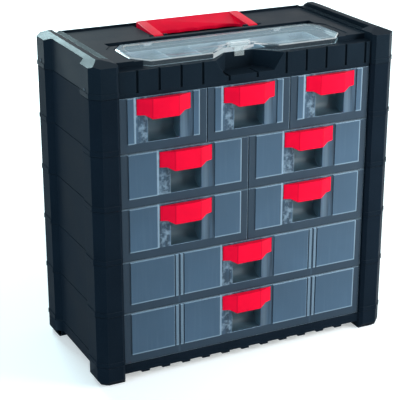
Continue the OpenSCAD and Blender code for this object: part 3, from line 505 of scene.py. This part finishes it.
def niche_strips(tree, settings, zones, place, streaks):
    """The clearer strips beside the niche, with painted streaks of light and shade for the walls behind them,
    and painted highlights.
    """
    light = settings.highlight_colour
    # Painted streaks of light and shade stand for the clear walls behind the strips
    body = clouded(tree, streaks, settings.frost_colour, low=0.45, high=1.1, span=(0.35, 0.75))
    # At the right a painted band of light runs down beside the niche
    band = distance(tree, zones.across, settings.niche_half + BAND_PLACE)
    body = blend_colour(tree, ramp(tree, band, *BAND_LIGHT, to_high=0.35), body, colour4(light))
    # At the left lie painted highlights: bright patches, and a line of light at the strip's outer edge
    patches = noise(tree, place, size=0.007, detail=3.0, rough=0.6)
    niche_left = -settings.niche_half
    left = ramp(tree, zones.across, niche_left + PATCH_FADE, niche_left - PATCH_FADE)
    bright = times(tree, left, ramp(tree, patches, 0.46, 0.64, to_high=0.75))
    body = blend_colour(tree, bright, body, colour4(light, 1.15))
    line = distance(tree, zones.across, LINE_PLACE - settings.strip_half)
    return blend_colour(tree, ramp(tree, line, *LINE_LIGHT, to_high=0.9), body, colour4(light, 1.4))


def rib_pair(tree, settings, zones, face):
    """The two ribs of a wide drawer's front, with painted highlights, and painted shade in the slot between
    them.
    """
    away = distance(tree, zones.beside, settings.rib_place)
    # Painted highlights on the ribs
    ribs = ramp(tree, away, settings.rib_half + RIB_OUTSIDE, settings.rib_half - RIB_INSIDE)
    ribs = times(tree, ribs, zones.front, zones.panel, 0.45)
    face = blend_colour(tree, ribs, face, colour4(settings.highlight_colour))
    # Painted shade in the slot between the ribs
    slot = ramp(tree, away, settings.slot_half + FADE, settings.slot_half - FADE)
    return blend_colour(tree, times(tree, slot, zones.front), face, colour4(settings.frost_colour, 0.55))


def panel_lines(tree, settings, zones, face):
    """Painted lines of light in the panels' lower and right edges, and painted shadows beside and under them.
    """
    half = settings.line_half
    wide, narrow = half * 1.3, half * 0.6
    low_line = distance(tree, zones.rise, settings.panel_bottom + half)
    right_line = distance(tree, zones.across, zones.panel_right - half)
    nearest = maths(tree, "MINIMUM", low_line, right_line)
    lines = times(tree, ramp(tree, nearest, wide, narrow, to_high=0.75), zones.panel)
    face = blend_colour(tree, lines, face, colour4(settings.highlight_colour, 1.1))
    # Painted shade beside each panel's right edge
    groove_shade = ramp(tree, distance(tree, zones.across, zones.panel_right + half), wide, narrow)
    groove_shade = times(tree, groove_shade, zones.above_ledge, 0.8)
    face = blend_colour(tree, groove_shade, face, colour4(settings.frost_colour, 0.2))
    # Painted shade along the front's lowest edge
    foot_shade = ramp(tree, zones.rise, half * 2.2, half, to_high=0.85)
    return blend_colour(tree, foot_shade, face, colour4(settings.frost_colour, 0.12))


def lit_edges(tree, settings, normal, edge, body):
    """Painted highlights in the edges above, below and at the right, and painted shade in the left ones."""
    turn = separate(tree, normal)
    # Painted highlights and shade, by which way each edge faces
    top_highlight = times(tree, edge, ramp(tree, turn["Z"], 0.08, 0.3))
    rim = ramp(tree, edge, 0.02, 0.3)
    right_or_down = maths(tree, "SUBTRACT", turn["X"], turn["Z"])
    lower = times(tree, rim, ramp(tree, right_or_down, 0.03, 0.15), 0.9)
    dark = times(tree, edge, ramp(tree, turn["X"], -0.08, -0.3), 0.8)
    body = blend_colour(tree, dark, body, colour4(settings.frost_colour, 0.3))
    body = blend_colour(tree, lower, body, colour4(settings.highlight_colour))
    return blend_colour(tree, top_highlight, body, colour4(settings.highlight_colour, 1.6))


def drawer_plastic(name, settings, centre, half_width, ribbed):
    """Clear plastic with frosted panels, clearer strips beside the niche, and painted light and shade in its
    edges.
    """
    material, tree, shader = new_material(name)
    place = object_place(tree, centre)
    normal, edge = round_edges(tree, settings.edge_round, samples=6)
    zones = DrawerZones(tree, settings, place, half_width)
    streaks = drawn_noise(tree, place, stretch=(1.0, 1.0, 0.06), scale=300.0, detail=2.0)
    cloud = noise(tree, place, size=0.05)
    face = frosted_plate(tree, settings, zones, cloud, streaks)
    face = blend_colour(tree, zones.strip, face, niche_strips(tree, settings, zones, place, streaks))
    if ribbed:
        face = rib_pair(tree, settings, zones, face)
    face = panel_lines(tree, settings, zones, face)
    body = blend_colour(tree, zones.front, colour4(settings.clear_colour), face)
    body = lit_edges(tree, settings, normal, edge, body)
    # The bin lets more light through than its front, and the strips more than the panels
    through = ramp(tree, zones.front, 0.0, 1.0, to_low=0.72, to_high=settings.see_through)
    through = maths(tree, "SUBTRACT", through, times(tree, edge, 0.2), clamp=True)
    through = maths(tree, "ADD", through, times(tree, zones.strip, 0.12), clamp=True)
    tree.links.new(through, shader.inputs["Transmission Weight"])
    uneven = ramp(tree, zones.front, 0.0, 1.0, to_low=0.45, to_high=0.32)
    bump = grain_bump(tree, place, normal, size=0.0016, depth=0.00004, strength=0.4)
    finish(tree, shader, body, uneven, bump)
    set_gloss(shader, settings.gloss)
    shader.inputs["IOR"].default_value = 1.42
    return material


def clear_plastic(name, colour, veil, standing, roughness, gloss):
    """Clear polished plastic: a veil on flat faces, less on standing ones, and painted highlights on edges
    that face up.
    """
    material, tree, shader = new_material(name)
    place = object_place(tree)
    normal, edge = round_edges(tree, radius=0.0007)
    flow = noise(tree, place, size=0.03)
    body = clouded(tree, flow, colour, low=0.92, high=1.08, span=WIDE)
    face_up = own_up(tree, add_node(tree, "ShaderNodeNewGeometry").outputs["True Normal"])
    level = maths(tree, "ABSOLUTE", face_up)
    veiled = ramp(tree, level, 0.9, 0.99, to_low=veil * standing, to_high=veil)
    # Painted highlights on the edges that face up, which also veil more
    upper_highlight = maths(tree, "MULTIPLY", edge, 2.0, clamp=True)
    upper_highlight = times(tree, upper_highlight, ramp(tree, own_up(tree, normal), 0.25, 0.55))
    body = blend_colour(tree, upper_highlight, body, WHITE)
    tree.links.new(maths(tree, "MAXIMUM", veiled, times(tree, upper_highlight, 0.55)), shader.inputs["Alpha"])
    uneven = ramp(tree, flow, *WIDE, to_low=roughness, to_high=roughness + 0.05)
    bump = grain_bump(tree, place, normal, size=0.004, depth=0.00004, strength=0.3)
    finish(tree, shader, body, uneven, bump)
    set_gloss(shader, gloss, tint=(0.75, 0.92, 1.0, 1.0))
    shader.inputs["IOR"].default_value = 1.45
    return material


def tray_plastic(name, colour, low, high):
    """Grey moulded plastic of the tray, with painted shade deepening from its walls' tops to its floors, and
    painted highlights on its edges.
    """
    material, tree, shader = new_material(name)
    place = object_place(tree)
    normal, edge = round_edges(tree, radius=0.0005)
    height = separate(tree, place)["Z"]
    cloud = noise(tree, place, size=0.02, detail=3.0)
    # Painted shade that deepens from the walls' tops down to the floors
    body = clouded(tree, height, colour, low=0.06, high=1.5, span=(low, high))
    body = blend_colour(tree, ramp(tree, cloud, *MIDDLE, to_high=0.12), body, colour4(colour))
    # Painted highlights on the edges
    body = blend_colour(tree, edge, body, colour4(colour, 1.8))
    uneven = ramp(tree, cloud, *WIDE, to_low=0.4, to_high=0.5)
    finish(tree, shader, body, uneven, grain_bump(tree, place, normal, size=0.0012, depth=0.00006))
    return material


def pin_steel(name):
    """Plain drawn steel with fine turning lines."""
    material, tree, shader = new_material(name)
    lines = drawn_noise(tree, object_place(tree), stretch=(1.0, 0.05, 0.05), scale=4000.0, detail=1.0)
    dull, bright = (0.45, 0.46, 0.48, 1.0), (0.66, 0.67, 0.69, 1.0)
    uneven = ramp(tree, lines, *WIDE, to_low=0.25, to_high=0.4)
    finish(tree, shader, blend_colour(tree, lines, dull, bright), uneven)
    shader.inputs["Metallic"].default_value = 1.0
    return material


def paint(obj, material):
    """The material on every slot of an object."""
    if not obj.material_slots:
        obj.data.materials.append(material)
    for held in obj.material_slots:
        held.material = material


# ---- Mesh helpers ----

# Limits on a face's normal: an upright wall's Z is below UPRIGHT, an X or Y below SLIGHT doesn't
# count, and a wall faces out when what it has away from the middle is above OUTWARD
UPRIGHT = 0.5
SLIGHT = 0.1
OUTWARD = 0.3
# The share of the drawers' furthest reach from which a drawer fills its whole level
FULL_LEVEL = 0.9


def select_only(obj):
    """Selects one object and makes it active."""
    bpy.ops.object.select_all(action="DESELECT")
    obj.select_set(True)
    bpy.context.view_layer.objects.active = obj


def merged_copy(node, name, same_place=0.00003, same_plane=math.radians(0.5)):
    """A piece that starts as a merged copy of a CAD node, with its flat faces whole."""
    piece = bpy.data.objects.new(name, NODES[node].data.copy())
    bpy.context.scene.collection.objects.link(piece)
    select_only(piece)
    bpy.ops.object.mode_set(mode="EDIT")
    bpy.ops.mesh.select_all(action="SELECT")
    bpy.ops.mesh.remove_doubles(threshold=same_place)
    bpy.ops.mesh.dissolve_limited(angle_limit=same_plane)
    bpy.ops.mesh.select_all(action="DESELECT")
    bpy.ops.object.mode_set(mode="OBJECT")
    return piece


def round_piece(piece, width, segments, sharp, smooth):
    """Rounds the edges sharper than an angle, and shades smooth those below another, in degrees."""
    select_only(piece)
    bevel = piece.modifiers.new("Rounding", "BEVEL")
    bevel.width = width
    bevel.segments = segments
    bevel.limit_method = "ANGLE"
    bevel.angle_limit = math.radians(sharp)
    bevel.use_clamp_overlap = True
    bevel.harden_normals = False
    bpy.ops.object.modifier_apply(modifier=bevel.name)
    bpy.ops.object.shade_smooth_by_angle(angle=math.radians(smooth))


def faces_out(normal, middle):
    """Whether a wall near a point faces away from the cabinet's middle, along X or Y."""
    out = 0.0
    for along, side in ((normal.x, middle.x), (normal.y, middle.y)):
        if abs(along) > SLIGHT:
            out += along * math.copysign(1.0, side)
    return out > OUTWARD


def settle(piece, node):
    """Puts a finished piece on its body in place of a CAD node."""
    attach(piece, BODIES[node])
    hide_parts(node)


# ---- Operators ----


class CABINET_OT_frames(bpy.types.Operator):
    """Finish the base, the level frames, the cover and the partitions in moulded plastic"""
    bl_idname = "cabinet.frames"
    bl_label = "Frames"

    def execute(self, context):
        look = context.scene.cabinet_frames
        shared = {"highlight_colour": look.highlight_colour, "radius": look.edge_round, "grain": look.grain}
        # The partitions take a dimmer copy of the frame colour: painted shade inside the cabinet
        partition_shade = tuple(c * 0.8 for c in look.colour)
        plastic = dark_plastic(
            "moulded_frame", look.colour, roughness=look.roughness, gloss=look.gloss, **shared)
        cover = dark_plastic(
            "moulded_cover", look.cover_colour, roughness=look.roughness, gloss=look.cover_gloss, **shared)
        inside = dark_plastic(
            "moulded_partition", partition_shade, roughness=0.55, gloss=look.cover_gloss, **shared)
        for node, obj in NODES.items():
            if node.startswith("level_frame") or node == "base_frame":
                paint(obj, plastic)
            elif node == "top_cover":
                paint(obj, cover)
            elif "partition" in node:
                paint(obj, inside)
        return {"FINISHED"}


class CABINET_OT_feet(bpy.types.Operator):
    """Taper the lower outer edges of the base's feet"""
    bl_idname = "cabinet.feet"
    bl_label = "Feet"

    def execute(self, context):
        look = context.scene.cabinet_frames
        piece = merged_copy("base_frame", "footed_base_frame")
        select_only(piece)
        bpy.ops.object.mode_set(mode="EDIT")
        mesh = bmesh.from_edit_mesh(piece.data)
        found = 0
        for edge in mesh.edges:
            if max(v.co.z for v in edge.verts) > look.ground or len(edge.link_faces) != 2:
                continue
            middle = (edge.verts[0].co + edge.verts[1].co) / 2
            walls = [face.normal for face in edge.link_faces if abs(face.normal.z) < UPRIGHT]
            if any(faces_out(wall, middle) for wall in walls):
                edge.select_set(True)
                found += 1
        if not found:
            raise RuntimeError("no lower edges found on the feet")
        bmesh.update_edit_mesh(piece.data)
        bpy.ops.mesh.bevel(offset=look.foot_taper, segments=2, affect="EDGES", clamp_overlap=True)
        bpy.ops.object.mode_set(mode="OBJECT")
        bpy.ops.object.shade_smooth_by_angle(angle=math.radians(20))
        paint(piece, bpy.data.materials["moulded_frame"])
        settle(piece, "base_frame")
        return {"FINISHED"}


class CABINET_OT_drawers(bpy.types.Operator):
    """Finish the drawers in clear plastic with frosted fronts"""
    bl_idname = "cabinet.drawers"
    bl_label = "Drawers"

    def execute(self, context):
        look = context.scene.cabinet_drawers
        reach = max(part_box(node)[1][0] for node in NODES if node.startswith("drawer_"))
        made = {}
        for node, obj in NODES.items():
            if not node.startswith("drawer_"):
                continue
            low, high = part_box(node)
            centre = round((low[0] + high[0]) / 2, 5)
            half_width = round((high[0] - low[0]) / 2, 5)
            # Only the drawers that fill a whole level have ribs
            ribbed = half_width > reach * FULL_LEVEL
            kind = (centre, half_width, ribbed)
            if kind not in made:
                made[kind] = drawer_plastic(f"drawer_plastic_{len(made) + 1}", look, *kind)
            paint(obj, made[kind])
        return {"FINISHED"}


class CABINET_OT_pulls(bpy.types.Operator):
    """Round the nine hooded pulls and finish them in glossy red"""
    bl_idname = "cabinet.pulls"
    bl_label = "Pulls"

    def execute(self, context):
        look = context.scene.cabinet_reds
        made = {}
        for node in [n for n in NODES if n.startswith("pull_")]:
            low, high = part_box(node)
            centre = round((low[0] + high[0]) / 2, 5)
            if centre not in made:
                name = f"red_pull_{len(made) + 1}"
                made[centre] = red_plastic(name, look, radius=0.0011, edge_shade=0.7, centre=centre)
            piece = merged_copy(node, "hooded_" + node)
            round_piece(piece, look.pull_round, segments=2, sharp=12, smooth=16)
            paint(piece, made[centre])
            settle(piece, node)
        return {"FINISHED"}


class CABINET_OT_handle(bpy.types.Operator):
    """Round the carry handle and finish it in glossy red"""
    bl_idname = "cabinet.handle"
    bl_label = "Carry handle"

    def execute(self, context):
        look = context.scene.cabinet_reds
        piece = merged_copy("carry_handle", "folding_carry_handle")
        round_piece(piece, look.handle_round, segments=3, sharp=20, smooth=22)
        paint(piece, red_plastic("red_handle", look, radius=0.0009, edge_shade=0.3))
        settle(piece, "carry_handle")
        return {"FINISHED"}


class CABINET_OT_organiser(bpy.types.Operator):
    """Round the clear lid and its latch, and finish them and the tray"""
    bl_idname = "cabinet.organiser"
    bl_label = "Organiser"

    def execute(self, context):
        look = context.scene.cabinet_lids
        lid = merged_copy("organiser_lid", "clear_organiser_lid")
        round_piece(lid, look.edge_round, segments=2, sharp=14, smooth=14)
        paint(lid, clear_plastic(
            "clear_lid", look.colour, look.veil, standing=0.05, roughness=0.12, gloss=look.gloss))
        # The lid throws no shadow, so that the tray under it stays light
        lid.visible_shadow = False
        settle(lid, "organiser_lid")
        latch = merged_copy("lid_latch", "clear_lid_latch")
        round_piece(latch, look.edge_round, segments=2, sharp=20, smooth=20)
        paint(latch, clear_plastic(
            "clear_latch", look.latch_colour, look.latch_veil, standing=0.5, roughness=0.1, gloss=look.gloss))
        settle(latch, "lid_latch")
        low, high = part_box("organiser_tray")
        paint(NODES["organiser_tray"], tray_plastic("tray_plastic", look.tray_colour, low[2], high[2]))
        return {"FINISHED"}


class CABINET_OT_pins(bpy.types.Operator):
    """Finish the hinge pins in steel and the snap pins in plastic"""
    bl_idname = "cabinet.pins"
    bl_label = "Pins"

    def execute(self, context):
        look = context.scene.cabinet_frames
        steel = pin_steel("drawn_steel")
        for node in ("lid_hinge_pins", "latch_pin", "handle_pins"):
            paint(NODES[node], steel)
        paint(NODES["cover_pins"], dark_plastic(
            "snap_pin", look.pin_colour, look.pin_highlight_colour,
            roughness=0.4, radius=0.0003, grain=0.0008, gloss=look.cover_gloss))
        return {"FINISHED"}


# ---- Stage ----


def area_light(name, place, size, power, colour, target=(0.0, 0.0, 0.2)):
    """A soft lamp that looks at the cabinet's middle and isn't seen itself."""
    light = bpy.data.lights.new(name, "AREA")
    light.shape = "RECTANGLE"
    light.size, light.size_y = size
    light.energy = power
    light.color = colour
    obj = bpy.data.objects.new(name, light)
    bpy.context.scene.collection.objects.link(obj)
    obj.location = place
    way = mathutils.Vector(target) - obj.location
    obj.rotation_euler = way.to_track_quat("-Z", "Y").to_euler()
    obj.visible_camera = False


def studio_floor(look, size=40.0, glow_start=0.3, glow_end=1.2):
    """A pale floor whose glow, painted light, makes it whiter away from the cabinet; its weaker glow near the
    cabinet paints a soft shade round it.
    """
    bpy.ops.object.select_all(action="DESELECT")
    bpy.ops.mesh.primitive_plane_add(size=size, location=(0, 0, 0))
    floor = bpy.context.active_object
    floor.name = "studio_floor"
    material = bpy.data.materials.new("studio_floor")
    material.use_nodes = True
    tree = material.node_tree
    tree.nodes.clear()
    out = tree.nodes.new("ShaderNodeOutputMaterial")
    pale = add_node(tree, "ShaderNodeBsdfDiffuse", {"Color": colour4(look.floor_colour)})
    away = add_node(tree, "ShaderNodeVectorMath", {0: object_place(tree)}, operation="LENGTH")
    # The glow is painted light, weaker near the cabinet so that it paints a soft shade round it
    glowing = ramp(tree, away.outputs["Value"], glow_start, glow_end, look.glow_near, look.glow_far)
    glow = add_node(tree, "ShaderNodeEmission", {
        "Color": (0.95, 1.0, 1.0, 1.0), "Strength": times(tree, background_rays(tree), glowing)})
    both = add_node(tree, "ShaderNodeAddShader", {0: pale.outputs[0], 1: glow.outputs[0]})
    tree.links.new(both.outputs[0], out.inputs[0])
    paint(floor, material)


def studio_world(look):
    """A dim blue sky that looks white to the camera, in gloss and through clear plastic."""
    world = bpy.data.worlds.new("studio")
    bpy.context.scene.world = world
    world.use_nodes = True
    tree = world.node_tree
    tree.nodes.clear()
    out = tree.nodes.new("ShaderNodeOutputWorld")
    sky = add_node(tree, "ShaderNodeBackground", {"Color": (0.8, 0.92, 1.0, 1.0), "Strength": look.sky})
    white = add_node(tree, "ShaderNodeBackground", {"Color": WHITE, "Strength": 1.0})
    pick = add_node(tree, "ShaderNodeMixShader", {
        0: background_rays(tree), 1: sky.outputs[0], 2: white.outputs[0]})
    tree.links.new(pick.outputs[0], out.inputs[0])


def studio_lamps(look):
    """A key lamp at the right, and cooler ones at the left, above and behind."""
    area_light("key_softbox", place=(0.75, -0.65, 0.5), size=(0.5, 0.5),
        power=look.key, colour=(1.0, 0.99, 0.98))
    area_light("left_softbox", place=(-2.05, -0.7, 0.9), size=(0.9, 1.5),
        power=look.fill, colour=(0.6, 0.85, 1.0))
    area_light("top_softbox", place=(0.2, -0.2, 2.2), size=(1.6, 1.2),
        power=look.fill * look.top_share, colour=(0.9, 0.97, 1.0))
    area_light("back_softbox", place=(-0.1, 2.75, 1.55), size=(1.0, 0.5),
        power=look.back, colour=(0.68, 0.96, 1.0))


def studio_camera(look):
    """The camera, with its lens given on a 36 mm sensor."""
    camera = bpy.data.cameras.new("studio_camera")
    camera.sensor_fit = "HORIZONTAL"
    camera.sensor_width = 36.0
    camera.lens = look.lens
    eye = bpy.data.objects.new("studio_camera", camera)
    bpy.context.scene.collection.objects.link(eye)
    eye.location = look.camera_place
    eye.rotation_euler = look.camera_turn
    bpy.context.scene.camera = eye


class CABINET_OT_stage(bpy.types.Operator):
    """Set the pale floor, the soft studio light and the camera"""
    bl_idname = "cabinet.stage"
    bl_label = "Stage"

    def execute(self, context):
        look = context.scene.cabinet_stage
        context.scene.view_settings.view_transform = "Standard"
        studio_floor(look)
        studio_world(look)
        studio_lamps(look)
        studio_camera(look)
        return {"FINISHED"}


# ---- Panel and registration ----

PIECES = (
    CABINET_OT_frames, CABINET_OT_feet, CABINET_OT_drawers, CABINET_OT_pulls,
    CABINET_OT_handle, CABINET_OT_organiser, CABINET_OT_pins, CABINET_OT_stage,
)
GROUPS = {
    "cabinet_frames": CabinetFrameSettings,
    "cabinet_drawers": CabinetDrawerSettings,
    "cabinet_reds": CabinetRedSettings,
    "cabinet_lids": CabinetLidSettings,
    "cabinet_stage": CabinetStageSettings,
}


class CABINET_PT_panel(bpy.types.Panel):
    """Lists the cabinet's pieces and their settings"""
    bl_idname = "CABINET_PT_panel"
    bl_label = "Parts cabinet"
    bl_space_type = "VIEW_3D"
    bl_region_type = "UI"
    bl_category = "Cabinet"

    def draw(self, context):
        layout = self.layout
        for name, group in GROUPS.items():
            box = layout.box()
            for prop in group.__annotations__:
                box.prop(getattr(context.scene, name), prop)
        for piece in PIECES:
            layout.operator(piece.bl_idname)


CLASSES = tuple(GROUPS.values()) + PIECES + (CABINET_PT_panel,)


def register():
    for cls in CLASSES:
        bpy.utils.register_class(cls)
    for name, group in GROUPS.items():
        setattr(bpy.types.Scene, name, bpy.props.PointerProperty(type=group))


def unregister():
    for name in GROUPS:
        delattr(bpy.types.Scene, name)
    for cls in reversed(CLASSES):
        bpy.utils.unregister_class(cls)


def main():
    register()
    for name in ("frames", "feet", "drawers", "pulls", "handle", "organiser", "pins", "stage"):
        getattr(bpy.ops.cabinet, name)()


if __name__ == "__main__":
    main()
